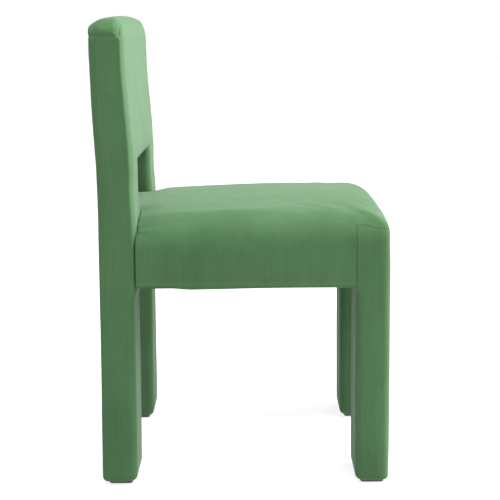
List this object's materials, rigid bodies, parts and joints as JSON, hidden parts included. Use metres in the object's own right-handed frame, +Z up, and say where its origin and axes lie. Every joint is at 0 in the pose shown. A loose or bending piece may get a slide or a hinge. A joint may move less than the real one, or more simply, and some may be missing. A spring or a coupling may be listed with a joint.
{
  "type": "dining chair",
  "caption": "Fully upholstered velvet dining chair with boxy padded legs, a crowned seat and a raked back panel above a rectangular opening.",
  "frame": {"origin": "centre of the chair's bounding box in plan, on the floor that the glides stand on", "axes": "+Z up, the chair faces -Y, and +X points to the sitter's left"},
  "size_m": [0.48, 0.5072, 0.803],
  "materials": {
    "velvet": "short-pile green velvet, soft sheen at grazing angles",
    "timber": "planed softwood, unfinished",
    "plywood": "sanded plywood",
    "foam": "open-cell upholstery foam and wadding, matte",
    "webbing": "woven elastic webbing, matte",
    "lining": "non-woven dust cloth, matte black",
    "glide": "moulded black plastic, fine texture",
    "steel": "zinc-plated steel"
  },
  "bodies": {
    "root": {"back_foam": "foam", "back_front_board": "plywood", "back_lower_rail": "timber", "back_rear_board": "plywood", "back_top_rail": "timber", "dust_cover": "lining", "front_cross_webbing": "webbing", "front_left_corner_block": "timber", "front_left_leg_screw": "steel", "front_left_rail_screw": "steel", "front_right_corner_block": "timber", "front_right_leg_screw": "steel", "front_right_rail_screw": "steel", "front_seat_rail": "timber", "inside_back_cover": "velvet", "left_front_glide": "glide", "left_front_glide_nail": "steel", "left_front_leg": "timber", "left_front_leg_cover": "velvet", "left_front_leg_padding": "foam", "left_long_webbing": "webbing", "left_rear_glide": "glide", "left_rear_glide_nail": "steel", "left_rear_post": "timber", "left_rear_post_cover": "velvet", "left_rear_post_padding": "foam", "left_seat_rail": "timber", "middle_cross_webbing": "webbing", "middle_long_webbing": "webbing", "outside_back_cover": "velvet", "rear_cross_webbing": "webbing", "rear_left_corner_block": "timber", "rear_left_leg_screw": "steel", "rear_left_rail_screw": "steel", "rear_right_corner_block": "timber", "rear_right_leg_screw": "steel", "rear_right_rail_screw": "steel", "rear_seat_rail": "timber", "right_front_glide": "glide", "right_front_glide_nail": "steel", "right_front_leg": "timber", "right_front_leg_cover": "velvet", "right_front_leg_padding": "foam", "right_long_webbing": "webbing", "right_rear_glide": "glide", "right_rear_glide_nail": "steel", "right_rear_post": "timber", "right_rear_post_cover": "velvet", "right_rear_post_padding": "foam", "right_seat_rail": "timber", "seat_cover": "velvet", "seat_foam": "foam"}
  },
  "joints": []
}
